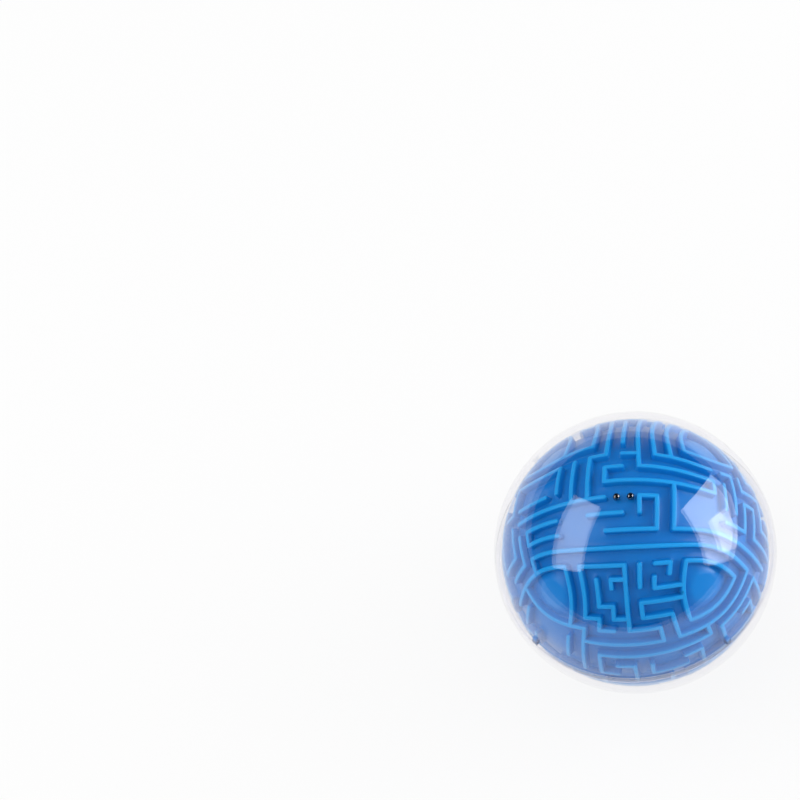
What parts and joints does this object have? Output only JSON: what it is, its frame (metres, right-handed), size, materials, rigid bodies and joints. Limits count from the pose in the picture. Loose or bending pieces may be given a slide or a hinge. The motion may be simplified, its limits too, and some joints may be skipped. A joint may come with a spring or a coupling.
{
  "type": "maze ball puzzle",
  "caption": "Hollow moulded ball with raised maze ribs, sealed in a clear two-part shell, with small steel balls that run in the corridors between the ribs.",
  "frame": {"origin": "centre of the ball", "axes": "+Z from the centre through the middle of the start field; the seam of the shell and of the maze ball lies in z = 0"},
  "size_m": [0.095, 0.095, 0.095],
  "materials": {
    "clear_shell": "clear, polished",
    "blue_plastic": "glossy moulded",
    "steel": "polished bearing steel"
  },
  "bodies": {
    "puzzle": {"shell_upper": "clear_shell", "shell_lower": "clear_shell", "maze_upper": "blue_plastic", "maze_lower": "blue_plastic"},
    "ball_1": {"steel_ball_1": "steel"},
    "ball_2": {"steel_ball_2": "steel"}
  },
  "joints": [
    {"name": "ball_1_roll", "type": "hinge", "parent": "puzzle", "child": "ball_1", "pos_m": [0, 0, 0], "axis": [-0.9992, 0, -0.0393], "range_deg": [-4.6, 4.6]},
    {"name": "ball_2_roll", "type": "hinge", "parent": "puzzle", "child": "ball_2", "pos_m": [0, 0, 0], "axis": [-0.9979, 0, 0.0654], "range_deg": [-12.1, 4.6]}
  ]
}
